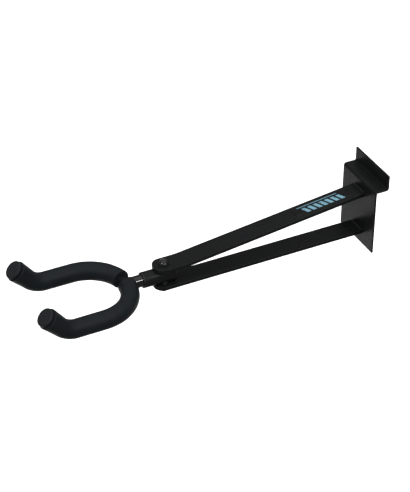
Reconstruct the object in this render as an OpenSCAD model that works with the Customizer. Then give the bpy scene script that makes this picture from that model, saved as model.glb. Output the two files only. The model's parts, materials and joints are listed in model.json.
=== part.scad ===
// Wall guitar hanger for slatwall.
// Origin: centre of the plate's wall face. +Y points into the wall, +Z up, and the yoke reaches out along -Y.

/* [Wall plate] */
// Width of the folded plate
plate_w = 62; // [50:1:90]
// Height from the bottom edge to the top of the shelf
plate_h = 72.5; // [68:0.5:90]
// Thickness of the sheet
sheet_t = 2; // [1.5:0.5:3]
// Room for the slat's lip, from the wall face to the hook's lip
hook_gap = 11.5; // [9:0.5:14]
// Height of the hook's lip above the shelf
lip_h = 15; // [8:1:20]
// Inside radius of both folds
fold_r = 1; // [0.5:0.5:2]

/* [Arms] */
// Width of both flat bars
arm_w = 21.5; // [20:0.5:25]
// Thickness of both flat bars
arm_t = 4; // [3:0.5:5]
// Gap between the bars at the pivot
arm_gap = 16.2; // [16.2:0.1:20]
// Distance from the wall face to the pivot
reach = 217; // [150:1:270]
// Height of the pivot tube's axis above the plate's bottom edge
axis_h = 23.6; // [18:0.1:26]
// How far the bars run past the pivot
tip_over = 11; // [9:0.5:15]
// Corner radius of the bars' front ends
tip_r = 9.5; // [4:0.5:9.5]
// Length of the upper bar's level part behind the pivot
level_run = 13; // [10:1:30]
// Slope of the upper bar in degrees
arm_slope = 7; // [4:0.1:7.5]
// Inside radius of the upper bar's bend
bend_r = 60; // [20:5:100]
// Leg length of the weld beads
weld_r = 2; // [1.5:0.1:4]

/* [Pivot] */
// Diameter of the bolt's shank
bolt_d = 6; // [5:0.5:8]
// Diameter of the bolt's domed head
head_d = 10.5; // [9:0.5:14]
// Height of the bolt's domed head
head_h = 4.8; // [3:0.1:5]
// Width of the domed nut across its flats
nut_af = 10; // [8:0.5:13]
// Height of the domed nut
nut_h = 6.5; // [5:0.5:8]
// Outer diameter of the spacer between the bars
sleeve_d = 9; // [8:0.5:11]

/* [Swivel tube] */
// Outer diameter of the tube
tube_d = 16; // [15.5:0.5:16]
// Wall thickness of the tube
tube_wall = 1; // [0.8:0.1:1.2]
// Length of the tube in front of the pivot
tube_front = 22; // [20:1:24]
// Length of the tube behind the pivot
tube_back = 10; // [8:1:20]
// Thickness of the bush's flange and of the rear cap's flange
flange_t = 1.5; // [1:0.1:2]

/* [Yoke] */
// Diameter of the stem
stem_d = 12.5; // [11.5:0.5:13]
// Diameter of the bent rod
rod_d = 9; // [7:0.5:10]
// Distance from the pivot to the rod's centre line at the back of the U
yoke_back = 39; // [36:1:60]
// Half the distance between the prongs' centre lines
yoke_half = 40.5; // [30:0.5:50]
// Length of the prongs' straight part
prong_run = 27; // [10:1:50]
// Bend radius of the upturned tips, on the rod's centre line
tip_bend_r = 22; // [20:1:40]
// Angle of the upturned tips in degrees
tip_angle = 48; // [30:1:75]
// Length from the end of the tip's bend to the end cap's face
tip_len = 22; // [20:1:40]

/* [Padding] */
// Diameter of the foam sleeves
foam_d = 18.5; // [16:0.5:20]
// Diameter of the foam where the end cap presses it
flare_d = 21; // [19:0.5:23]
// Diameter of the end caps
cap_d = 18.5; // [14:0.5:20]
// Thickness of the end caps
cap_t = 3; // [2:0.5:5]
// Width of the groove between the foam and its end cap
cap_gap = 1.2; // [0.5:0.1:2]
// Distance from the stem's axis to the left sleeve's inner end
left_start = 10; // [8:0.5:15]
// Distance from the stem's axis to the right sleeve's inner end
right_start = 1; // [1:0.5:15]

/* [Label] */
// Length of the label
label_l = 64; // [30:1:100]
// Width of the label
label_w = 16; // [10:1:18]
// Distance of the label from the wall face, measured along the bar
label_from_wall = 10; // [6:1:60]

/* [Hidden] */
$fn = 64;

cut = 1;             // how far a hole's tool runs past the faces it cuts
big = 400;           // longer than the part

run_fit = 0.06;      // radial clearance of a turning fit
bolt_room = 0.2;     // radial clearance round the bolt
bend_steps = 8;      // flats that make up the upper bar's bend
label_t = 0.2;

washer_d = 12;
washer_t = 1.2;
nut_corner = 0.4;    // from the nut's flats to its dome
nut_crown = 1.5;     // solid end of the nut, past the bolt
bolt_stop = 1;       // from the bolt's end to the bottom of the nut's hole

bush_l = 13;
plug_l = 4;
plug_wall = 1;
clip_t = 1;
clip_d = 13.6;
clip_opening = 70;
groove_d = 11;
clip_play = 0.2;     // from the clip to the bush
stem_play = 0.6;     // from the stem's end to the spacer
clip_at = tube_front - bush_l - clip_play;

spigot_l = 3;        // the end cap's spigot, inside the foam
cap_groove = 1.5;    // depth of the groove between the foam and its end cap
tip_lap = 0.5;       // a tip starts this far inside its bend,
tip_step = 0.04;     // and is this much thinner, so that the two join cleanly
bead_inset = 1;      // from a bar's side to the end of its weld bead
cope = 30;           // half the arc of rod that shapes the stem's end
stem_lap = 2.25;     // from the stem's end to the rod's centre line
weld_l = 5;          // length of the bead round the stem,
weld_at = 1.5;       // its wide end, from the rod's centre line,
weld_foot = 0.8;     // how far it stands proud of the stem there,
weld_toe = 0.2;      // and at its thin end

plate_top = plate_h / 2;
plate_bottom = -plate_h / 2;
plate_front = -sheet_t;
bend_out = fold_r + sheet_t;
axis_z = plate_bottom + axis_h;
lower_top = axis_z - arm_gap / 2;
lower_bottom = lower_top - arm_t;
upper_bottom = axis_z + arm_gap / 2;
upper_top = upper_bottom + arm_t;
bend_start = -(reach - level_run);
bend_end = [bend_start + bend_r * sin(arm_slope), upper_top + bend_r * (1 - cos(arm_slope))];
slope_l = (plate_front - bend_end[0]) / cos(arm_slope);
upper_at_plate = bend_end[1] + slope_l * sin(arm_slope);
tube_bore = tube_d - 2 * tube_wall;
u_centre = yoke_back + yoke_half;
prong_end = u_centre + prong_run;
foam_l = tip_len - cap_t - cap_gap;

// ---- shared shapes ----

// Quarter of a bent sheet's section, round a corner at the origin
module fold_section(start) {
    intersection() {
        difference() {
            circle(r = bend_out);
            circle(r = fold_r);
        }
        rotate(start) square(bend_out + cut);
    }
}

// Extrudes a side view, drawn as (y, z), across the part's width
module across(width) {
    rotate([90, 0, 90]) linear_extrude(width, center = true) children();
}

// Plan outline of a bar: square at the wall, rounded at the front
module bar_outline() {
    corner = arm_w / 2 - tip_r;
    tip_y = -(reach + tip_over);
    translate([-arm_w / 2, tip_y + tip_r]) square([arm_w, big]);
    translate([-corner, tip_y]) square([2 * corner, tip_r + cut]);
    for (side = [-1, 1]) translate([side * corner, tip_y + tip_r]) circle(r = tip_r);
}

// Trims a bar to its plan outline and drills it for the bolt
module finished_bar() {
    difference() {
        intersection() {
            children();
            translate([0, 0, -big / 2]) linear_extrude(big) bar_outline();
        }
        at_pivot() cylinder(h = big, r = bolt_d / 2 + bolt_room, center = true);
    }
}

// Weld bead in the corner between the plate and a bar: a sector of a circle
module bead(height, from_angle, sweep) {
    translate([0, plate_front, height]) across(arm_w - 2 * bead_inset) intersection() {
        circle(r = weld_r);
        polygon([[0, 0], for (a = [from_angle, from_angle + sweep]) 2 * weld_r * [cos(a), sin(a)]]);
    }
}

module at_pivot() {
    translate([0, -reach, axis_z]) children();
}

// Cylinder on the tube's axis, from one distance in front of the pivot to another
module on_axis(from, to, d) {
    at_pivot() translate([0, -from, 0]) rotate([90, 0, 0]) cylinder(h = to - from, d = d);
}

// Round bar along the U's half circle, between two angles counted from the right prong
module u_arc(d, from_angle, to_angle) {
    at_pivot() translate([0, -u_centre, 0]) rotate([0, 0, from_angle])
        rotate_extrude(angle = to_angle - from_angle) translate([yoke_half, 0]) circle(d = d);
}

// Round bar along the right prong from the U's half circle to its tip, which may widen towards its end
module prong(d, tip_l, end_d) {
    at_pivot() {
        translate([yoke_half, -u_centre, 0]) rotate([90, 0, 0]) cylinder(h = prong_run, d = d);
        translate([yoke_half, -prong_end, tip_bend_r])
            rotate([180, 90, 0]) rotate_extrude(angle = tip_angle) translate([tip_bend_r, 0]) circle(d = d);
    }
    at_tip() translate([0, 0, -tip_lap]) cylinder(h = tip_l + tip_lap, d1 = d - tip_step, d2 = end_d - tip_step);
}

// Frame at the end of the right tip's bend, with +Z along the tip
module at_tip() {
    at_pivot()
        translate([yoke_half, -prong_end - tip_bend_r * sin(tip_angle), tip_bend_r * (1 - cos(tip_angle))])
            rotate([90 - tip_angle, 0, 0]) children();
}

module foam(start) {
    difference() {
        union() {
            u_arc(foam_d, 0, acos(start / yoke_half));
            prong(foam_d, foam_l, flare_d);
        }
        u_arc(rod_d, 0, 90);
        prong(rod_d, tip_len, rod_d);
        on_axis(0, yoke_back, stem_d + 2 * weld_foot + 2 * run_fit);
    }
}

module end_cap() {
    at_tip() {
        translate([0, 0, tip_len - cap_t]) cylinder(h = cap_t, d = cap_d);
        translate([0, 0, foam_l]) cylinder(h = cap_gap, d = cap_d - 2 * cap_groove);
        translate([0, 0, foam_l - spigot_l]) cylinder(h = spigot_l + cap_gap, d = rod_d - tip_step);
    }
}

// ---- bracket ----

module slatwall_plate() {
    color([0.16, 0.17, 0.18]) across(plate_w) {
        translate([plate_front, plate_bottom]) square([sheet_t, plate_h - bend_out]);
        translate([plate_front + bend_out, plate_top - bend_out]) fold_section(90);
        translate([fold_r, plate_top - sheet_t]) square([hook_gap - 2 * fold_r, sheet_t]);
        translate([hook_gap - fold_r, plate_top + fold_r]) fold_section(-90);
        translate([hook_gap, plate_top + fold_r]) square([sheet_t, lip_h - fold_r]);
    }
}

module lower_arm() {
    color([0.1, 0.1, 0.11]) finished_bar() across(arm_w)
        translate([-big, lower_bottom]) square([big + plate_front, arm_t]);
}

module upper_arm() {
    bottom_at_plate = upper_at_plate - arm_t / cos(arm_slope);
    color([0.1, 0.1, 0.11]) finished_bar() across(arm_w) polygon([
        [-big, upper_top],
        for (i = [0:bend_steps]) bend_point(bend_r, i),
        [plate_front, upper_at_plate],
        [plate_front, bottom_at_plate],
        for (i = [bend_steps:-1:0]) bend_point(bend_r + arm_t, i),
        [-big, upper_bottom]
    ]);
}

// Point on the upper bar's bend, seen from the side, at a radius from the bend's centre
function bend_point(r, i) =
    [bend_start, upper_top + bend_r] + r * [sin(arm_slope * i / bend_steps), -cos(arm_slope * i / bend_steps)];

module upper_arm_welds() {
    color([0.13, 0.13, 0.14]) {
        bead(upper_at_plate, 90, 90 + arm_slope);
        bead(upper_at_plate - arm_t / cos(arm_slope), 180 + arm_slope, 90 - arm_slope);
    }
}

module lower_arm_welds() {
    color([0.13, 0.13, 0.14]) {
        bead(lower_top, 90, 90);
        bead(lower_bottom, 180, 90);
    }
}

module label() {
    color([0.35, 0.65, 0.8]) translate([0, plate_front, upper_at_plate]) rotate([arm_slope, 0, 0])
        translate([-label_w / 2, -label_from_wall - label_l, 0]) cube([label_w, label_l, label_t]);
}

// ---- pivot ----

module pivot_bolt() {
    dome_r = (pow(head_d / 2, 2) + pow(head_h, 2)) / (2 * head_h);
    shank_l = arm_gap + 2 * arm_t + washer_t + nut_h - nut_crown - bolt_stop;
    color([0.06, 0.06, 0.07]) translate([0, -reach, upper_top]) {
        intersection() {
            translate([0, 0, head_h - dome_r]) sphere(r = dome_r);
            cylinder(h = 2 * head_h, d = head_d);
        }
        translate([0, 0, -shank_l]) cylinder(h = shank_l, d = bolt_d);
    }
}

module nut_washer() {
    color([0.12, 0.12, 0.13]) translate([0, -reach, lower_bottom - washer_t]) difference() {
        cylinder(h = washer_t, d = washer_d);
        translate([0, 0, -cut]) cylinder(h = washer_t + 2 * cut, r = bolt_d / 2 + bolt_room);
    }
}

module pivot_nut() {
    hex_h = nut_h / 2;
    dome_r = nut_af / 2 - nut_corner;
    dome_at = nut_h - dome_r;
    color([0.06, 0.06, 0.07]) translate([0, -reach, lower_bottom - washer_t]) rotate([180, 0, 0]) difference() {
        union() {
            cylinder(h = hex_h, r = nut_af / sqrt(3), $fn = 6);
            intersection() {
                translate([0, 0, dome_at]) sphere(r = dome_r);
                cylinder(h = 2 * nut_h, r = nut_af);
            }
        }
        translate([0, 0, -cut]) cylinder(h = nut_h - nut_crown + cut, d = bolt_d);
    }
}

module pivot_sleeve() {
    color([0.5, 0.5, 0.52]) at_pivot() difference() {
        cylinder(h = arm_gap, d = sleeve_d, center = true);
        cylinder(h = arm_gap + 2 * cut, r = bolt_d / 2 + bolt_room, center = true);
    }
}

// ---- swivel ----

module swivel_tube() {
    color([0.11, 0.11, 0.12]) difference() {
        on_axis(-tube_back, tube_front, tube_d);
        on_axis(-tube_back - cut, tube_front + cut, tube_bore);
        at_pivot() cylinder(h = 2 * tube_d, r = sleeve_d / 2 + run_fit, center = true);
    }
}

module stem_bush() {
    color([0.05, 0.05, 0.05]) difference() {
        union() {
            on_axis(tube_front - bush_l, tube_front, tube_bore);
            on_axis(tube_front, tube_front + flange_t, tube_d);
        }
        on_axis(0, 2 * tube_front, stem_d + 2 * run_fit);
    }
}

module tube_cap() {
    color([0.05, 0.05, 0.05]) difference() {
        union() {
            on_axis(-tube_back, -tube_back + plug_l, tube_bore);
            on_axis(-tube_back - flange_t, -tube_back, tube_d);
        }
        on_axis(-tube_back, 0, tube_bore - 2 * plug_wall);
    }
}

// ---- yoke ----

module yoke_stem() {
    color([0.12, 0.12, 0.13]) difference() {
        on_axis(sleeve_d / 2 + stem_play, yoke_back - stem_lap, stem_d);
        difference() {
            on_axis(clip_at - clip_t, clip_at, stem_d + cut);
            on_axis(0, tube_front, groove_d);
        }
        u_arc(rod_d, 90 - cope, 90 + cope);
    }
}

module stem_clip() {
    color([0.45, 0.45, 0.47]) at_pivot() translate([0, clip_t - clip_at, 0])
        rotate([90, clip_opening / 2 + 90, 0]) rotate_extrude(angle = 360 - clip_opening)
            translate([groove_d / 2, 0]) square([(clip_d - groove_d) / 2, clip_t]);
}

module yoke_rod() {
    color([0.1, 0.1, 0.11]) {
        u_arc(rod_d, 0, 180);
        for (side = [0, 1]) mirror([side, 0, 0]) prong(rod_d, foam_l - spigot_l, rod_d);
    }
}

module yoke_weld() {
    color([0.13, 0.13, 0.14]) difference() {
        at_pivot() translate([0, weld_at - yoke_back, 0]) rotate([-90, 0, 0])
            cylinder(h = weld_l, d1 = stem_d + 2 * weld_foot, d2 = stem_d + 2 * weld_toe);
        on_axis(0, yoke_back, stem_d);
        u_arc(rod_d, 90 - cope, 90 + cope);
    }
}

module right_foam() {
    color([0.2, 0.22, 0.24]) foam(right_start);
}

module left_foam() {
    color([0.2, 0.22, 0.24]) mirror([1, 0, 0]) foam(left_start);
}

module right_end_cap() {
    color([0.24, 0.26, 0.29]) end_cap();
}

module left_end_cap() {
    color([0.24, 0.26, 0.29]) mirror([1, 0, 0]) end_cap();
}

slatwall_plate();
upper_arm();
lower_arm();
upper_arm_welds();
lower_arm_welds();
label();
pivot_bolt();
pivot_nut();
nut_washer();
pivot_sleeve();
swivel_tube();
stem_bush();
tube_cap();
yoke_stem();
stem_clip();
yoke_rod();
yoke_weld();
left_foam();
right_foam();
left_end_cap();
right_end_cap();
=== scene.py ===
"""Wall guitar hanger for slatwall: its looks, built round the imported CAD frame. Lengths are in metres."""
import json
from math import asin, cos, pi, radians, sin, tan

import bmesh
import bpy
from mathutils import Matrix, Vector, noise


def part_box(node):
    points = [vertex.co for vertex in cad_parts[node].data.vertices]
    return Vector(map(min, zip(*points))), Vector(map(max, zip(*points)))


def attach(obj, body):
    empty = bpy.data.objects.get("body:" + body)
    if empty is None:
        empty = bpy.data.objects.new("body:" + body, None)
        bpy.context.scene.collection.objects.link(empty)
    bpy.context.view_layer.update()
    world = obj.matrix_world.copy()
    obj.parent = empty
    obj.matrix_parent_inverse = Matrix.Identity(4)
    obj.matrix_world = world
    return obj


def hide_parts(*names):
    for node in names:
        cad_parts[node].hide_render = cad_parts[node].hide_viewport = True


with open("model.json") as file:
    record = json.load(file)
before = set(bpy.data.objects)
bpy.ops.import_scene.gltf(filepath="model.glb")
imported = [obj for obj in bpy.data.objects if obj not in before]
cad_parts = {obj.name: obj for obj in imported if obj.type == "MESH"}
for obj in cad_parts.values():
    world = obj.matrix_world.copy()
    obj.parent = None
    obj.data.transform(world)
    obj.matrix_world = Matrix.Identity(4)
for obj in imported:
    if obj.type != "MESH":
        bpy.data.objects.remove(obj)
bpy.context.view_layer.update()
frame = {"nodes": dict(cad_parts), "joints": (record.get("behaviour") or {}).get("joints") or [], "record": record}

# ---- sizes and places ----

MM = 0.001
MERGE = 0.001 * MM       # points closer than this are one point
RUN_FIT = 0.06 * MM      # radial clearance of a turning fit

# What the boxes of the CAD nodes say
plate_low, plate_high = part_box("slatwall_plate")
lower_low, lower_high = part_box("lower_arm")
upper_low, upper_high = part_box("upper_arm")
bolt_low, bolt_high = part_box("pivot_bolt")
nut_low, nut_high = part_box("pivot_nut")
washer_low, washer_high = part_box("nut_washer")
sleeve_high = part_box("pivot_sleeve")[1]
tube_low, tube_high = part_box("swivel_tube")
bush_low, bush_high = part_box("stem_bush")
cap_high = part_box("tube_cap")[1]
stem_low, stem_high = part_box("yoke_stem")
rod_low, rod_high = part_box("yoke_rod")
foam_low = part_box("right_foam")[0]

HINGES = {joint["name"]: joint for joint in frame["joints"]}
PIVOT = Vector(HINGES["swivel_swing"]["pos_m"])
BODY_OF = {node: body for body, nodes in frame["record"]["behaviour"]["bodies"].items() for node in nodes}
SLOT_OF = {name: node.material_slots[0].material.name for name, node in frame["nodes"].items()}

PLATE_FRONT = plate_low.y
PLATE_TOP = -plate_low.z
SHEET_T = -plate_low.y
FOLD_R = 1 * MM

ARM_T = lower_high.z - lower_low.z
ARM_HALF = lower_high.x
ARM_TIP = lower_low.y
TIP_R = 9.5 * MM
BAR_EDGE = 0.35 * MM
UPPER_TOP = upper_low.z + ARM_T
LEVEL_RUN = 13 * MM
BEND_START = PIVOT.y + LEVEL_RUN
BEND_R = 60 * MM
SLOPE = radians(7)
BOLT_R = 3 * MM
BOLT_HOLE_R = 3.2 * MM

WELD_R = 2 * MM
BEAD_INSET = 1 * MM
WELD_HALF = ARM_HALF - BEAD_INSET
WELD_FOOT = 0.8 * MM

STEM_R = stem_high.x
TUBE_R = tube_high.x
TUBE_WALL = 1 * MM
TUBE_BORE_R = TUBE_R - TUBE_WALL
SLEEVE_HOLE_R = sleeve_high.x + RUN_FIT
PLUG_L = 4 * MM
PLUG_WALL = 1 * MM
GROOVE_R = 5.5 * MM

ROD_R = PIVOT.z - rod_low.z
U_R = rod_high.x - ROD_R
U_BACK = rod_high.y - ROD_R
PRONG_RUN = 27 * MM
TIP_BEND_R = 22 * MM
TIP_ANGLE = radians(48)
TIP_LEN = 22 * MM

FOAM_R = PIVOT.z - foam_low.z
FLARE_R = 10.5 * MM
LEFT_START = 10 * MM
RIGHT_START = 1 * MM
CAP_R = 9.25 * MM
CAP_T = 3 * MM
CAP_GAP = 1.2 * MM
CAP_GROOVE = 1.5 * MM
SPIGOT_L = 3 * MM
PRESS_GAP = 0.02 * MM    # keeps pressed faces from lying in one another
FOAM_TIP = TIP_LEN - CAP_T - CAP_GAP

LABEL_L = 64 * MM
LABEL_W = 16 * MM
LABEL_T = 0.2 * MM
LABEL_FROM_WALL = 10 * MM


# ---- outlines and meshes ----

def rounded(corners, closed=True, steps=4):
    """Outline through corners given as (a, b, radius), with each corner turned into an arc."""
    outline = []
    for index, (a, b, radius) in enumerate(corners):
        corner = Vector((a, b))
        if radius == 0 or not closed and index in (0, len(corners) - 1):
            outline.append(corner)
            continue
        back = (Vector(corners[index - 1][:2]) - corner).normalized()
        ahead = (Vector(corners[(index + 1) % len(corners)][:2]) - corner).normalized()
        half = back.angle(ahead) / 2
        centre = corner + (back + ahead).normalized() * radius / sin(half)
        spoke = corner + back * radius / tan(half) - centre
        turn = (pi - 2 * half) * (1 if back.x * ahead.y < back.y * ahead.x else -1)
        outline += [centre + Matrix.Rotation(turn * step / steps, 2) @ spoke for step in range(steps + 1)]
    return outline


def circle(centre, radius, count):
    """Points round a circle, anticlockwise."""
    angles = [2 * pi * step / count for step in range(count)]
    return [Vector((centre[0] + radius * cos(angle), centre[1] + radius * sin(angle))) for angle in angles]


def skin(mesh, rings, closed=False, capped=False):
    """Adds quads between rings that have the same number of points each."""
    rows = [[mesh.verts.new(point) for point in ring] for ring in rings]
    for row, after in zip(rows, rows[1:] + rows[:1] if closed else rows[1:]):
        for index in range(len(row)):
            following = (index + 1) % len(row)
            mesh.faces.new((row[index], row[following], after[following], after[index]))
    if capped:
        mesh.faces.new(rows[0])
        mesh.faces.new(rows[-1])


def lathe(outline, place, closed=False, count=72, limit=None):
    """Mesh turned about the local Z axis from (radius, height) points; limit gives the most at each angle."""
    mesh = bmesh.new()
    angles = [2 * pi * step / count for step in range(count)]
    rings = []
    for radius, height in outline:
        reach = [min(radius, limit(angle)) if limit else radius for angle in angles]
        rings.append([place @ Vector((r * cos(a), r * sin(a), height)) for r, a in zip(reach, angles)])
    skin(mesh, rings, closed)
    return mesh


def inset(loop, amount):
    """Loop moved to its left by an amount, with mitred corners."""
    mitre_limit = 0.3
    moved = []
    for index, point in enumerate(loop):
        back = (point - loop[index - 1]).normalized()
        ahead = (loop[(index + 1) % len(loop)] - point).normalized()
        side = Vector((-back.y, back.x))
        mitre = (side + Vector((-ahead.y, ahead.x))).normalized()
        moved.append(point + mitre * amount / max(mitre_limit, mitre.dot(side)))
    return moved


def slab(loops, low, high, edge, place, steps=3):
    """Flat solid with rounded edges: the outer loop runs anticlockwise and the holes run clockwise."""
    mesh = bmesh.new()
    turns = [pi / 2 * step / steps for step in range(steps + 1)]
    levels = [(edge * (1 - cos(turn)), high - edge + edge * sin(turn)) for turn in turns]
    levels = [(amount, low + high - height) for amount, height in reversed(levels)] + levels
    ends = [[], []]
    for loop in loops:
        rings = []
        for amount, height in levels:
            ring = inset(loop, amount)
            rings.append([place @ Vector((point.x, point.y, height)) for point in ring])
        start = len(mesh.verts)
        skin(mesh, rings)
        mesh.verts.ensure_lookup_table()
        for end, first in zip(ends, (start, start + len(loop) * (len(rings) - 1))):
            verts = mesh.verts[first:first + len(loop)]
            end += [mesh.edges.get((verts[index - 1], verts[index])) for index in range(len(loop))]
    for end in ends:
        bmesh.ops.triangle_fill(mesh, use_beauty=True, edges=end)
    return mesh


def mark_edges(piece, axis):
    """Writes a face attribute that is 1 on the rounded edges of a flat piece, where its coat wears first."""
    side_tilt = 0.1
    flat_tilt = 0.98
    worn = piece.data.attributes.new("edge", "FLOAT", "FACE")
    for face in piece.data.polygons:
        tilt = abs(face.normal.dot(axis))
        worn.data[face.index].value = float(side_tilt < tilt < flat_tilt)


def stored(name, mesh):
    """Mesh data from a built mesh, with its seams merged and its faces turned outwards."""
    bmesh.ops.remove_doubles(mesh, verts=mesh.verts, dist=MERGE)
    bmesh.ops.recalc_face_normals(mesh, faces=mesh.faces)
    data = bpy.data.meshes.new(name)
    mesh.to_mesh(data)
    mesh.free()
    return data


def placed(name, data):
    """New object in the scene, made from a mesh, a light or a camera."""
    thing = bpy.data.objects.new(name, data)
    bpy.context.scene.collection.objects.link(thing)
    return thing


def show(name, mesh, node, sharp=40):
    """Turns the mesh into the visible piece that stands for one CAD node; sharp is in degrees."""
    data = stored(name, mesh)
    data.shade_smooth()
    data.set_sharp_from_angle(angle=radians(sharp))
    data.materials.append(FINISH[SLOT_OF[node]])
    piece = placed(name, data)
    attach(piece, BODY_OF[node])
    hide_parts(node)
    return piece


def flatten_shading(piece):
    """Keeps broad flat faces evenly shaded beside their rounded edges."""
    weighted = piece.modifiers.new("even shading", "WEIGHTED_NORMAL")
    weighted.keep_sharp = True


def cut(piece, mesh):
    """Cuts a mesh out of a piece, and applies the cut."""
    cutter = placed("cutter", stored("cutter", mesh))
    hole = piece.modifiers.new("cut", "BOOLEAN")
    hole.object = cutter
    hole.solver = "EXACT"
    bpy.context.view_layer.update()
    shaped = piece.evaluated_get(bpy.context.evaluated_depsgraph_get())
    result = bpy.data.meshes.new_from_object(shaped)
    piece.modifiers.remove(hole)
    piece.data = result
    result.set_sharp_from_angle(angle=radians(40))
    bpy.data.objects.remove(cutter)


UPRIGHT = Matrix.Translation((0, PIVOT.y, 0))
FORWARD = Matrix.Translation(PIVOT) @ Matrix.Rotation(radians(90), 4, "X")
SIDEWAYS = Matrix(((0, 0, 1, 0), (1, 0, 0, 0), (0, 1, 0, 0), (0, 0, 0, 1)))


# ---- materials ----

class Finish:
    """Principled material whose textures run on the piece's own coordinates, in metres."""

    def __init__(self, name, **constants):
        self.material = bpy.data.materials.new(name)
        self.material.use_nodes = True
        self.nodes = self.material.node_tree.nodes
        self.links = self.material.node_tree.links
        self.shader = self.nodes["Principled BSDF"]
        self.place = self.nodes.new("ShaderNodeTexCoord").outputs["Object"]
        for socket, value in constants.items():
            self.shader.inputs[socket.replace("_", " ")].default_value = value

    def put(self, socket, value):
        """Stores a number or colour in a socket, or links another node's output to it."""
        if isinstance(value, bpy.types.NodeSocket):
            self.links.new(value, socket)
        else:
            socket.default_value = value

    def noise(self, size, detail=3.0, stretch=(1, 1, 1)):
        """Noise from 0 to 1 with features of the given size."""
        mapping = self.nodes.new("ShaderNodeMapping")
        self.links.new(self.place, mapping.inputs["Vector"])
        mapping.inputs["Scale"].default_value = [1 / (size * factor) for factor in stretch]
        texture = self.nodes.new("ShaderNodeTexNoise")
        self.links.new(mapping.outputs["Vector"], texture.inputs["Vector"])
        texture.inputs["Scale"].default_value = 1
        texture.inputs["Detail"].default_value = detail
        return texture.outputs["Fac"]

    def cells(self, size):
        """Distance from the centres of small cells, from 0 outwards."""
        texture = self.nodes.new("ShaderNodeTexVoronoi")
        self.links.new(self.place, texture.inputs["Vector"])
        texture.inputs["Scale"].default_value = 1 / size
        return texture.outputs["Distance"]

    def span(self, value, low, high, to_low, to_high):
        """Maps the range low to high on to another range, and clamps it."""
        node = self.nodes.new("ShaderNodeMapRange")
        for socket, number in zip(node.inputs, (value, low, high, to_low, to_high)):
            self.put(socket, number)
        return node.outputs["Result"]

    def math(self, operation, first, second=0.0, third=0.0):
        node = self.nodes.new("ShaderNodeMath")
        node.operation = operation
        for socket, value in zip(node.inputs, (first, second, third)):
            self.put(socket, value)
        return node.outputs["Value"]

    def blend(self, factor, first, second):
        """Colour between two others."""
        node = self.nodes.new("ShaderNodeMix")
        node.data_type = "RGBA"
        self.put(node.inputs["Factor"], factor)
        self.put(node.inputs["A"], first)
        self.put(node.inputs["B"], second)
        return node.outputs["Result"]

    def bump(self, height, depth, under=None):
        """Adds relief of the given depth, on top of another relief."""
        node = self.nodes.new("ShaderNodeBump")
        node.inputs["Distance"].default_value = depth
        self.links.new(height, node.inputs["Height"])
        if under:
            self.links.new(under, node.inputs["Normal"])
        return node.outputs["Normal"]

    def attribute(self, name):
        node = self.nodes.new("ShaderNodeAttribute")
        node.attribute_name = name
        return node.outputs["Fac"]

    def wire(self, colour=None, roughness=None, normal=None):
        for name, value in (("Base Color", colour), ("Roughness", roughness), ("Normal", normal)):
            if value is not None:
                self.put(self.shader.inputs[name], value)
        return self.material


def grey(level, blue=0.0):
    """Linear grey with a little blue in it."""
    return (level * (1 - blue), level, level * (1 + blue), 1)


def powder_coat():
    """Satin black powder coat: fine orange peel, cloudy gloss, and rubbed edges."""
    f = Finish("satin_powder_coat", Specular_IOR_Level=0.1)
    cloud = f.noise(18 * MM, 4)
    peel = f.noise(0.9 * MM, 2)
    grain = f.noise(0.18 * MM, 2)
    scuff = f.span(f.noise(3 * MM, 6, (1, 6, 1)), 0.56, 0.72, 0, 1)
    edge = f.math("MULTIPLY", f.attribute("edge"), f.span(f.noise(2 * MM, 4), 0.4, 0.7, 0.1, 1))
    colour = f.blend(cloud, grey(0.0095, 0.04), grey(0.0135, 0.04))
    colour = f.blend(edge, colour, grey(0.026, 0.05))
    roughness = f.span(cloud, 0.3, 0.7, 0.27, 0.36)
    roughness = f.math("SUBTRACT", roughness, f.math("MULTIPLY", scuff, 0.05))
    return f.wire(colour, roughness, f.bump(grain, 0.006 * MM, f.bump(peel, 0.03 * MM)))


def gloss_black_metal():
    """Polished black finish of the bolt, its nut and the stem, with hairline rubbing."""
    f = Finish("gloss_black_metal", Specular_IOR_Level=0.35)
    cloud = f.noise(4 * MM, 4)
    lines = f.noise(0.25 * MM, 3, (12, 12, 1))
    colour = f.blend(cloud, grey(0.008), grey(0.016))
    roughness = f.span(cloud, 0.3, 0.7, 0.04, 0.08)
    return f.wire(colour, roughness, f.bump(lines, 0.003 * MM))


def bare_steel():
    """Zinc-plated steel with a fine turned grain and dull patches."""
    f = Finish("zinc_plated_steel", Metallic=1.0)
    cloud = f.noise(3 * MM, 5)
    turned = f.noise(0.2 * MM, 2, (1, 1, 20))
    colour = f.blend(cloud, (0.34, 0.34, 0.33, 1), (0.55, 0.56, 0.57, 1))
    roughness = f.span(cloud, 0.3, 0.7, 0.28, 0.45)
    return f.wire(colour, roughness, f.bump(turned, 0.004 * MM))


def black_nylon():
    """Moulded nylon: faint flow marks, and a fine spark-eroded texture."""
    f = Finish("moulded_nylon", Specular_IOR_Level=0.4)
    flow = f.noise(5 * MM, 3, (1, 1, 3))
    texture = f.noise(0.12 * MM, 2)
    colour = f.blend(flow, grey(0.006), grey(0.01))
    return f.wire(colour, f.span(flow, 0.3, 0.7, 0.45, 0.6), f.bump(texture, 0.006 * MM))


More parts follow.
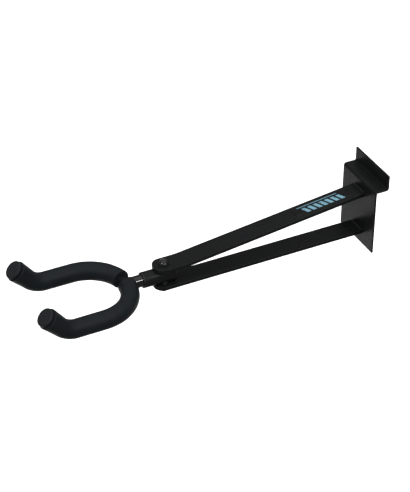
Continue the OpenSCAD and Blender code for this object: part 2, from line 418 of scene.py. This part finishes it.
def foam():
    """Closed-cell foam: a matt skin of tiny cells, slightly mottled and dusty."""
    f = Finish("closed_cell_foam", Specular_IOR_Level=0.12)
    mottle = f.noise(9 * MM, 5)
    speck = f.noise(0.5 * MM, 2)
    pores = f.span(f.cells(0.55 * MM), 0.0, 0.6, 0, 1)
    colour = f.blend(f.span(mottle, 0.3, 0.7, 0, 1), (0.0096, 0.0120, 0.0136, 1), (0.0130, 0.0163, 0.0186, 1))
    colour = f.blend(f.span(speck, 0.62, 0.75, 0, 0.5), colour, grey(0.014, 0.08))
    roughness = f.span(mottle, 0.3, 0.7, 0.46, 0.56)
    relief = f.bump(f.noise(1.6 * MM, 3), 0.05 * MM, f.bump(pores, 0.03 * MM))
    return f.wire(colour, roughness, relief)


def end_cap_rubber():
    """Moulded rubber, a little lighter and smoother than the foam."""
    f = Finish("moulded_rubber", Specular_IOR_Level=0.2)
    mottle = f.noise(3.5 * MM, 4)
    texture = f.noise(0.3 * MM, 3)
    colour = f.blend(mottle, (0.0100, 0.0126, 0.0138, 1), (0.0150, 0.0186, 0.0206, 1))
    roughness = f.span(mottle, 0.3, 0.7, 0.42, 0.56)
    return f.wire(colour, roughness, f.bump(texture, 0.02 * MM))


def label_film():
    """Printed film: a row of slanted bars and a thin line, in light blue on black."""
    f = Finish("printed_label", Specular_IOR_Level=0.12)
    bars = 7
    pitch = 6.4 * MM
    bar_share = 0.62
    slant = 0.45
    row_start = LABEL_FROM_WALL + 11 * MM
    row_centre = 1.6 * MM
    row_half = 4 * MM
    line_at = -5.2 * MM
    line_half = 0.45 * MM
    split = f.nodes.new("ShaderNodeSeparateXYZ")
    f.links.new(f.place, split.inputs["Vector"])
    across = split.outputs["X"]
    along = f.math("MULTIPLY", f.math("SUBTRACT", PLATE_FRONT, split.outputs["Y"]), 1 / cos(SLOPE))
    slanted = f.math("MULTIPLY_ADD", across, slant, along)
    count = f.math("DIVIDE", f.math("SUBTRACT", slanted, row_start), pitch)
    on_bar = f.math("LESS_THAN", f.math("FRACT", count), bar_share)
    in_row = f.math("MULTIPLY", f.math("GREATER_THAN", count, 0), f.math("LESS_THAN", count, bars))
    in_band = f.math("LESS_THAN", f.math("ABSOLUTE", f.math("SUBTRACT", across, row_centre)), row_half)
    printed = f.math("MULTIPLY", f.math("MULTIPLY", on_bar, in_row), in_band)
    in_line = f.math("LESS_THAN", f.math("ABSOLUTE", f.math("SUBTRACT", across, line_at)), line_half)
    printed = f.math("MAXIMUM", printed, f.math("MULTIPLY", in_line, in_row))
    wear = f.span(f.noise(1.2 * MM, 5), 0.36, 0.5, 0.55, 1)
    colour = f.blend(f.math("MULTIPLY", printed, wear), grey(0.009), (0.22, 0.44, 0.55, 1))
    roughness = f.span(f.noise(4 * MM), 0.3, 0.7, 0.25, 0.38)
    return f.wire(colour, roughness, f.bump(f.noise(0.4 * MM), 0.004 * MM))


FINISH = {
    "powder_coat": powder_coat(),
    "gloss_black_metal": gloss_black_metal(),
    "bare_steel": bare_steel(),
    "black_nylon": black_nylon(),
    "foam": foam(),
    "end_cap_rubber": end_cap_rubber(),
    "label_film": label_film(),
}

for node_name, cad_node in frame["nodes"].items():
    cad_node.material_slots[0].material = FINISH[SLOT_OF[node_name]]


# ---- bracket ----

def wall_plate():
    """Sheet folded back over the slat's lip and up again, with rounded sheared edges."""
    edge = 0.45 * MM
    bend_out = FOLD_R + SHEET_T
    lip_front = plate_high.y - SHEET_T
    shelf_under = PLATE_TOP - SHEET_T
    outline = rounded([
        (PLATE_FRONT, plate_low.z, edge),
        (0, plate_low.z, edge),
        (0, shelf_under, FOLD_R),
        (plate_high.y, shelf_under, bend_out),
        (plate_high.y, plate_high.z, edge),
        (lip_front, plate_high.z, edge),
        (lip_front, PLATE_TOP, FOLD_R),
        (PLATE_FRONT, PLATE_TOP, bend_out),
    ], steps=6)
    piece = show("folded_plate", slab([outline], plate_low.x, plate_high.x, edge, SIDEWAYS), "slatwall_plate")
    mark_edges(piece, Vector((1, 0, 0)))
    flatten_shading(piece)


def bar_loops(length_end):
    """Plan outline of a flat bar with its rounded front end, and the bolt's hole."""
    sawn = 0.6 * MM
    outline = rounded([
        (-ARM_HALF, ARM_TIP, TIP_R),
        (ARM_HALF, ARM_TIP, TIP_R),
        (ARM_HALF, length_end, sawn),
        (-ARM_HALF, length_end, sawn),
    ], steps=12)
    return [outline, list(reversed(circle((0, PIVOT.y), BOLT_HOLE_R, 32)))]


def lower_bar():
    loops = bar_loops(PLATE_FRONT)
    piece = show("lower_flat_bar", slab(loops, lower_low.z, lower_high.z, BAR_EDGE, Matrix()), "lower_arm")
    mark_edges(piece, Vector((0, 0, 1)))
    flatten_shading(piece)


def bent(point):
    """Where a point of the straight upper bar goes when the bar is bent up behind the pivot."""
    run = point.y - BEND_START
    if run <= 0:
        return point
    angle = min(run / BEND_R, SLOPE)
    radius = BEND_R + UPPER_TOP - point.z
    beyond = run - angle * BEND_R
    y = BEND_START + radius * sin(angle) + beyond * cos(angle)
    z = UPPER_TOP + BEND_R - radius * cos(angle) + beyond * sin(angle)
    return Vector((point.x, min(y, PLATE_FRONT), z))


def upper_bar():
    bend_l = BEND_R * SLOPE
    sloped = (PLATE_FRONT - BEND_START - BEND_R * sin(SLOPE)) / cos(SLOPE)
    loops = bar_loops(BEND_START + bend_l + sloped)
    mesh = slab(loops, UPPER_TOP - ARM_T, UPPER_TOP, BAR_EDGE, Matrix())
    cuts = 10
    for step in range(cuts + 1):
        everything = mesh.verts[:] + mesh.edges[:] + mesh.faces[:]
        place = Vector((0, BEND_START + bend_l * step / cuts, 0))
        bmesh.ops.bisect_plane(mesh, geom=everything, plane_co=place, plane_no=(0, 1, 0))
    for vertex in mesh.verts:
        vertex.co = bent(vertex.co)
    piece = show("upper_flat_bar", mesh, "upper_arm")
    mark_edges(piece, Vector((0, 0, 1)))
    flatten_shading(piece)


def weld_bead(mesh, height, start, sweep):
    """Fillet weld along the corner between the plate and a bar, laid in overlapping ripples."""
    ripples = 11
    steps = 110
    parts = 8
    thinnest = 0.25
    root = 0.2 * MM
    rings = []
    for step in range(steps + 1):
        share = step / steps
        x = WELD_HALF * (2 * share - 1)
        taper = max(thinnest, 1 - abs(2 * share - 1) ** 9)
        sway = 1 + 0.1 * noise.noise(Vector((x / (3 * MM), height / MM, start)))
        ring = [Vector((x, PLATE_FRONT + root * cos(start + sweep / 2 + pi), height))]
        for part in range(parts + 1):
            turn = part / parts
            crown = sin(pi * turn)
            ripple = abs(sin(pi * (ripples * share - 0.35 * crown)))
            reach = WELD_R * taper * (0.80 + 0.14 * ripple) * (1 - 0.12 * crown) * sway
            angle = start + sweep * turn
            ring.append(Vector((x, PLATE_FRONT + reach * cos(angle), height + reach * sin(angle))))
        rings.append(ring)
    skin(mesh, rings, capped=True)


def welds(name, node, top, bottom, slope):
    """The beads above and below one bar; slope tilts the bar's side of each bead."""
    mesh = bmesh.new()
    quarter = pi / 2
    weld_bead(mesh, top, quarter, quarter + slope)
    weld_bead(mesh, bottom, pi + slope, quarter - slope)
    show(name, mesh, node, sharp=60)


def label():
    """Printed film on top of the sloping bar."""
    start = -LABEL_FROM_WALL - LABEL_L
    corner_r = 1.5 * MM
    outline = rounded([
        (-LABEL_W / 2, start, corner_r),
        (LABEL_W / 2, start, corner_r),
        (LABEL_W / 2, -LABEL_FROM_WALL, corner_r),
        (-LABEL_W / 2, -LABEL_FROM_WALL, corner_r),
    ])
    place = Matrix.Translation((0, PLATE_FRONT, upper_high.z)) @ Matrix.Rotation(SLOPE, 4, "X")
    show("printed_label", slab([outline], 0, LABEL_T, 0.05 * MM, place, steps=2), "label")


# ---- pivot ----

def dome(radius, height, steps=14):
    """Quarter outline of a dome from its rim to its top, as (radius, height) pairs."""
    ball = (radius ** 2 + height ** 2) / (2 * height)
    start = asin(min(1, radius / ball))
    if height > ball:
        start = pi - start
    angles = [start * (1 - step / steps) for step in range(steps + 1)]
    return [(ball * sin(angle), height - ball + ball * cos(angle)) for angle in angles]


def bolt():
    """Dome-headed bolt that holds both bars and the spacer."""
    head_r = bolt_high.x
    end = bolt_low.z - UPPER_TOP
    rim = 0.5 * MM
    outline = [(0, end), (BOLT_R - rim, end), (BOLT_R, end + rim), (BOLT_R, 0)]
    outline += [(head_r - rim / 2, 0), (head_r, rim / 2)]
    outline += [(radius, rim + height) for radius, height in dome(head_r, bolt_high.z - UPPER_TOP - rim)]
    show("dome_bolt", lathe(outline, UPRIGHT @ Matrix.Translation((0, 0, UPPER_TOP))), "pivot_bolt")


def washer():
    outline = rounded([
        (BOLT_HOLE_R, washer_low.z, 0.1 * MM),
        (washer_high.x, washer_low.z, 0.3 * MM),
        (washer_high.x, washer_high.z, 0.3 * MM),
        (BOLT_HOLE_R, washer_high.z, 0.1 * MM),
    ])
    show("plain_washer", lathe(outline, UPRIGHT, closed=True), "nut_washer")


def nut():
    """Domed nut under the lower bar, hanging from the washer."""
    flats = nut_high.y - PIVOT.y
    corner_r = flats / cos(pi / 6)
    height = nut_high.z - nut_low.z
    hex_h = height / 2
    chamfer = 0.45 * MM
    shoulder = 0.4 * MM
    dome_r = flats - shoulder
    crown = 1.5 * MM
    steps = 12

    def hexagon(angle):
        return flats / cos((angle + pi / 6) % (pi / 3) - pi / 6)

    dome_start = asin((hex_h - height + dome_r) / dome_r)
    turns = [dome_start + (pi / 2 - dome_start) * step / steps for step in range(steps + 1)]
    outline = [(0, height - crown), (BOLT_R, height - crown), (BOLT_R, 0)]
    outline += [(flats, 0), (corner_r, chamfer), (corner_r, hex_h - chamfer), (flats, hex_h)]
    outline += [(dome_r * cos(turn), height - dome_r + dome_r * sin(turn)) for turn in turns]
    place = UPRIGHT @ Matrix.Translation((0, 0, nut_high.z)) @ Matrix.Rotation(pi, 4, "X")
    show("cap_nut", lathe(outline, place, limit=hexagon), "pivot_nut", sharp=25)


# ---- swivel ----

def forward(y):
    """Distance of a place in front of the pivot."""
    return PIVOT.y - y


def swivel_tube():
    back, front = forward(tube_high.y), forward(tube_low.y)
    outline = rounded([
        (TUBE_BORE_R, back, 0.3 * MM),
        (TUBE_R, back, 0.5 * MM),
        (TUBE_R, front, 0.5 * MM),
        (TUBE_BORE_R, front, 0.3 * MM),
    ])
    piece = show("swivel_tube_shell", lathe(outline, FORWARD, closed=True), "swivel_tube")
    past = 2 * TUBE_R
    hole = [(0, -past), (SLEEVE_HOLE_R, -past), (SLEEVE_HOLE_R, past), (0, past)]
    cut(piece, lathe(hole, Matrix.Translation(PIVOT)))


def stem_bush():
    """Flanged bush pressed into the tube's mouth, with a countersunk bore."""
    flange_back, front = forward(tube_low.y), forward(bush_low.y)
    back = forward(bush_high.y)
    bore_r = STEM_R + RUN_FIT
    outline = rounded([
        (bore_r, back, 0.2 * MM),
        (TUBE_BORE_R, back, 0.3 * MM),
        (TUBE_BORE_R, flange_back, 0),
        (TUBE_R, flange_back, 0.15 * MM),
        (TUBE_R, front, 0.6 * MM),
        (bore_r, front, 0.35 * MM),
    ])
    show("flanged_bush", lathe(outline, FORWARD, closed=True), "stem_bush")


def tube_cap():
    """Push-in cap at the back of the tube, with a slightly domed face."""
    back, face = forward(cap_high.y), forward(tube_high.y)
    plug = face + PLUG_L
    plug_r = TUBE_BORE_R - PLUG_WALL
    outline = rounded([
        (0, back, 0),
        (TUBE_R, back + 0.3 * MM, 0.6 * MM),
        (TUBE_R, face, 0.15 * MM),
        (TUBE_BORE_R, face, 0),
        (TUBE_BORE_R, plug, 0.4 * MM),
        (plug_r, plug, 0.2 * MM),
        (plug_r, face, 0.3 * MM),
        (0, face, 0),
    ], closed=False)
    show("push_in_cap", lathe(outline, FORWARD), "tube_cap")


# ---- yoke ----

QUARTER = U_R * pi / 2
BEND_AT = QUARTER + PRONG_RUN
TIP_AT = BEND_AT + TIP_BEND_R * TIP_ANGLE


def yoke_line(run):
    """Point, direction, inward side and upper side of the right half of the rod's centre line.

    The run is measured along the line from the stem's axis.
    """
    centre = Vector((0, U_BACK - U_R, PIVOT.z))
    up = Vector((0, 0, 1))
    if run < QUARTER:
        angle = run / U_R
        spoke = Vector((sin(angle), cos(angle), 0))
        return centre + spoke * U_R, Vector((cos(angle), -sin(angle), 0)), -spoke, up
    prong = centre + Vector((U_R, 0, 0))
    inward = Vector((-1, 0, 0))
    if run < BEND_AT:
        return prong - Vector((0, run - QUARTER, 0)), Vector((0, -1, 0)), inward, up
    angle = min((run - BEND_AT) / TIP_BEND_R, TIP_ANGLE)
    ahead = Vector((0, -cos(angle), sin(angle)))
    upper = Vector((0, sin(angle), cos(angle)))
    pivot = prong + Vector((0, -PRONG_RUN, TIP_BEND_R))
    return pivot - upper * TIP_BEND_R + ahead * max(0, run - TIP_AT), ahead, inward, upper


def mirrored(point, side):
    return Vector((point.x * side, point.y, point.z))


def yoke_ring(run, radius, side, count=64):
    """Ring round the rod; its radius may depend on the run and the angle from the inward side."""
    point, _, inward, upper = yoke_line(run)
    ring = []
    for step in range(count):
        angle = 2 * pi * step / count
        reach = radius(run, angle) if callable(radius) else radius
        ring.append(mirrored(point + (inward * cos(angle) + upper * sin(angle)) * reach, side))
    return ring


def foam_sleeve(name, node, side, from_stem):
    """Foam tube pushed on to the rod: flared against its end cap, and creased inside the tip's bend."""
    start = U_R * asin(from_stem / U_R)
    end = TIP_AT + FOAM_TIP
    edge = 0.7 * MM
    bore_r = ROD_R + PRESS_GAP
    mid_bend = (BEND_AT + TIP_AT) / 2
    bend_half = 11 * MM
    fold_size = 0.62 * MM
    other_side = Vector((40 * MM * side, 0, 0))

    def surface(run, angle):
        here = yoke_line(run)[0] + other_side + Vector((0, cos(angle), sin(angle))) * FOAM_R
        flare = max(0, (run - TIP_AT) / FOAM_TIP) * (FLARE_R - FOAM_R)
        lumps = 0.16 * MM * noise.noise(here / (22 * MM)) + 0.05 * MM * noise.noise(here / (6 * MM))
        in_bend = max(0, 1 - ((run - mid_bend) / bend_half) ** 2)
        folds = sin(run / fold_size + 2 * noise.noise(here / (5 * MM)))
        crease = 0.14 * MM * in_bend * max(0, sin(angle)) ** 2 * folds
        squeeze = 0.15 * MM * in_bend * sin(angle)
        return FOAM_R + flare + lumps + crease - squeeze

    def rim(turn):
        """Radius on the rounded edge of a cut end."""
        return lambda run, angle: surface(run, angle) - edge * (1 - cos(turn))

    edge_steps = 4
    steps = 190
    bore_steps = 60
    turns = [pi / 2 * step / edge_steps for step in range(edge_steps + 1)]
    length = end - start - 2 * edge
    bore_runs = [end - (end - start) * step / bore_steps for step in range(bore_steps + 1)]
    rings = [yoke_ring(start + edge * (1 - sin(turn)), rim(turn), side) for turn in reversed(turns)]
    rings += [yoke_ring(start + edge + length * step / steps, surface, side) for step in range(1, steps)]
    rings += [yoke_ring(end - edge * (1 - sin(turn)), rim(turn), side) for turn in turns]
    rings += [yoke_ring(run, bore_r, side) for run in bore_runs]
    mesh = bmesh.new()
    skin(mesh, rings, closed=True)
    piece = show(name, mesh, node, sharp=60)
    cut(piece, stem_clearance())


def stem_clearance():
    """Room that the foam leaves round the stem and its weld."""
    reach = STEM_R + WELD_FOOT + RUN_FIT
    return lathe([(0, 0), (reach, 0), (reach, forward(U_BACK)), (0, forward(U_BACK))], FORWARD)


def tip_place(side):
    """Frame at the start of a tip's straight end, with Z along the tip."""
    point, ahead, _, upper = yoke_line(TIP_AT)
    place = Matrix((upper.cross(ahead), upper, ahead)).transposed().to_4x4()
    place.translation = mirrored(point, side)
    return place


def end_cap(name, node, side):
    """Rubber disc with a rounded face on a spigot inside the foam."""
    face = TIP_LEN
    back = face - CAP_T
    spigot_r = ROD_R - PRESS_GAP
    outline = rounded([
        (0, FOAM_TIP - SPIGOT_L, 0),
        (spigot_r, FOAM_TIP - SPIGOT_L, 0.6 * MM),
        (spigot_r, FOAM_TIP, 0),
        (CAP_R - CAP_GROOVE, FOAM_TIP, 0.1 * MM),
        (CAP_R - CAP_GROOVE, back, 0.3 * MM),
        (CAP_R, back, 0.5 * MM),
        (CAP_R, face, 1.1 * MM),
        (CAP_R * 0.7, face, 2 * MM),
        (0, face - 0.15 * MM, 0),
    ], closed=False, steps=6)
    show(name, lathe(outline, tip_place(side)), node)


def stem():
    """Turned stem: chamfered back end, groove for the clip, and a coped end on the rod."""
    back, front = forward(stem_high.y), forward(stem_low.y)
    clip_low, clip_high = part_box("stem_clip")
    groove_back, groove_front = forward(clip_high.y), forward(clip_low.y)
    chamfer = 0.6 * MM
    outline = rounded([
        (0, back, 0),
        (STEM_R - chamfer, back, 0),
        (STEM_R, back + chamfer, 0),
        (STEM_R, groove_back, 0),
        (GROOVE_R, groove_back, 0),
        (GROOVE_R, groove_front, 0),
        (STEM_R, groove_front, 0),
        (STEM_R, front, 0),
        (0, front, 0),
    ], closed=False)
    piece = show("turned_stem", lathe(outline, FORWARD), "yoke_stem")
    cut(piece, rod_cutter())


def rod_cutter():
    """Short stretch of the rod across the stem's end."""
    half = 10 * MM
    steps = 8
    runs = [half * step / steps for step in range(-steps, steps + 1)]
    mesh = bmesh.new()
    skin(mesh, [yoke_ring(abs(run), ROD_R, 1 if run >= 0 else -1, count=48) for run in runs], capped=True)
    return mesh


def stem_weld():
    """Rippled bead round the stem where it meets the rod."""
    low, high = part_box("yoke_weld")
    back, front = forward(high.y), forward(low.y)
    ripples = 18
    count = 144
    steps = 10
    angles = [2 * pi * part / count for part in range(count)]
    rings = []
    for step in range(steps + 1):
        share = step / steps
        height = back + (front - back) * share
        ring = []
        for angle in angles:
            ripple = abs(sin(ripples * angle / 2 + 2 * share))
            reach = STEM_R + 0.1 * MM + (0.35 + 0.3 * ripple) * MM * share ** 0.6
            ring.append(FORWARD @ Vector((reach * cos(angle), reach * sin(angle), height)))
        rings.append(ring)
    inner = STEM_R - 0.3 * MM
    for height in (front, back):
        rings.append([FORWARD @ Vector((inner * cos(angle), inner * sin(angle), height)) for angle in angles])
    mesh = bmesh.new()
    skin(mesh, rings, closed=True)
    piece = show("stem_weld_bead", mesh, "yoke_weld", sharp=70)
    cut(piece, rod_cutter())


wall_plate()
lower_bar()
upper_bar()
welds("upper_bar_welds", "upper_arm_welds", upper_high.z, upper_high.z - ARM_T / cos(SLOPE), SLOPE)
welds("lower_bar_welds", "lower_arm_welds", lower_high.z, lower_low.z, 0)
label()
bolt()
washer()
nut()
swivel_tube()
stem_bush()
tube_cap()
stem()
stem_weld()
foam_sleeve("left_foam_sleeve", "left_foam", -1, LEFT_START)
foam_sleeve("right_foam_sleeve", "right_foam", 1, RIGHT_START)
end_cap("left_rubber_cap", "left_end_cap", -1)
end_cap("right_rubber_cap", "right_end_cap", 1)


# ---- studio ----

def floor():
    """Plain pale floor below the hanger; it stops short of it, so that little light bounces back up."""
    mesh = bmesh.new()
    level = -0.9
    corners = [(-2.6, -0.62), (-0.2, -0.62), (-0.2, 1.6), (-2.6, 1.6)]
    mesh.faces.new([mesh.verts.new((x, y, level)) for x, y in corners])
    data = bpy.data.meshes.new("floor")
    mesh.to_mesh(data)
    mesh.free()
    sheet = placed("floor", data)
    paper = Finish("pale_paper", Roughness=0.9, Specular_IOR_Level=0.1)
    data.materials.append(paper.wire((0.92, 0.92, 0.92, 1)))


def lamp(name, towards, strength, spread):
    """Distant light that shines from a direction, as wide in the sky as its spread in degrees."""
    light = bpy.data.lights.new(name, "SUN")
    light.energy = strength
    light.angle = radians(spread)
    holder = placed(name, light)
    holder.rotation_euler = Vector(towards).to_track_quat("Z", "Y").to_euler()


def floor_lamp():
    """Wide lamp just above the floor, facing down, that keeps the floor pale."""
    light = bpy.data.lights.new("floor_lamp", "AREA")
    light.size = 3.2
    light.energy = 34
    holder = placed("floor_lamp", light)
    holder.location = (-1.4, 0.5, -0.35)


def surroundings(level):
    """Dim room that is white only as a backdrop, so that black gloss stays black."""
    world = bpy.data.worlds.new("studio")
    world.use_nodes = True
    nodes = world.node_tree.nodes
    links = world.node_tree.links
    ray = nodes.new("ShaderNodeLightPath")
    shade = nodes.new("ShaderNodeMix")
    shade.data_type = "RGBA"
    links.new(ray.outputs["Is Camera Ray"], shade.inputs["Factor"])
    shade.inputs["A"].default_value = (level, level, level, 1)
    shade.inputs["B"].default_value = (1, 1, 1, 1)
    links.new(shade.outputs["Result"], nodes["Background"].inputs["Color"])
    bpy.context.scene.world = world


def camera():
    """Camera that looks down at the hanger from its right front."""
    azimuth, elevation = radians(63.81), radians(35.53)
    distance = 1.6216
    target = Vector((-0.042, -0.152, -0.02685))
    back = Vector((sin(azimuth) * cos(elevation), -cos(azimuth) * cos(elevation), sin(elevation)))
    lens = bpy.data.cameras.new("camera")
    lens.sensor_width = 36
    lens.lens = 118.67
    lens.clip_start, lens.clip_end = 0.05, 50
    holder = placed("camera", lens)
    holder.location = target + back * distance
    holder.rotation_euler = (-back).to_track_quat("-Z", "Y").to_euler()
    bpy.context.scene.camera = holder


floor()
surroundings(0.24)
lamp("overhead_softbox", (0.2, -0.1, 1), 1.9, 100)
floor_lamp()
lamp("right_lamp", (0.72, 0.29, 0.65), 0.5, 5)
lamp("left_lamp", (0.21, -0.74, 0.65), 0.4, 5)
camera()
bpy.context.scene.view_settings.view_transform = "Standard"
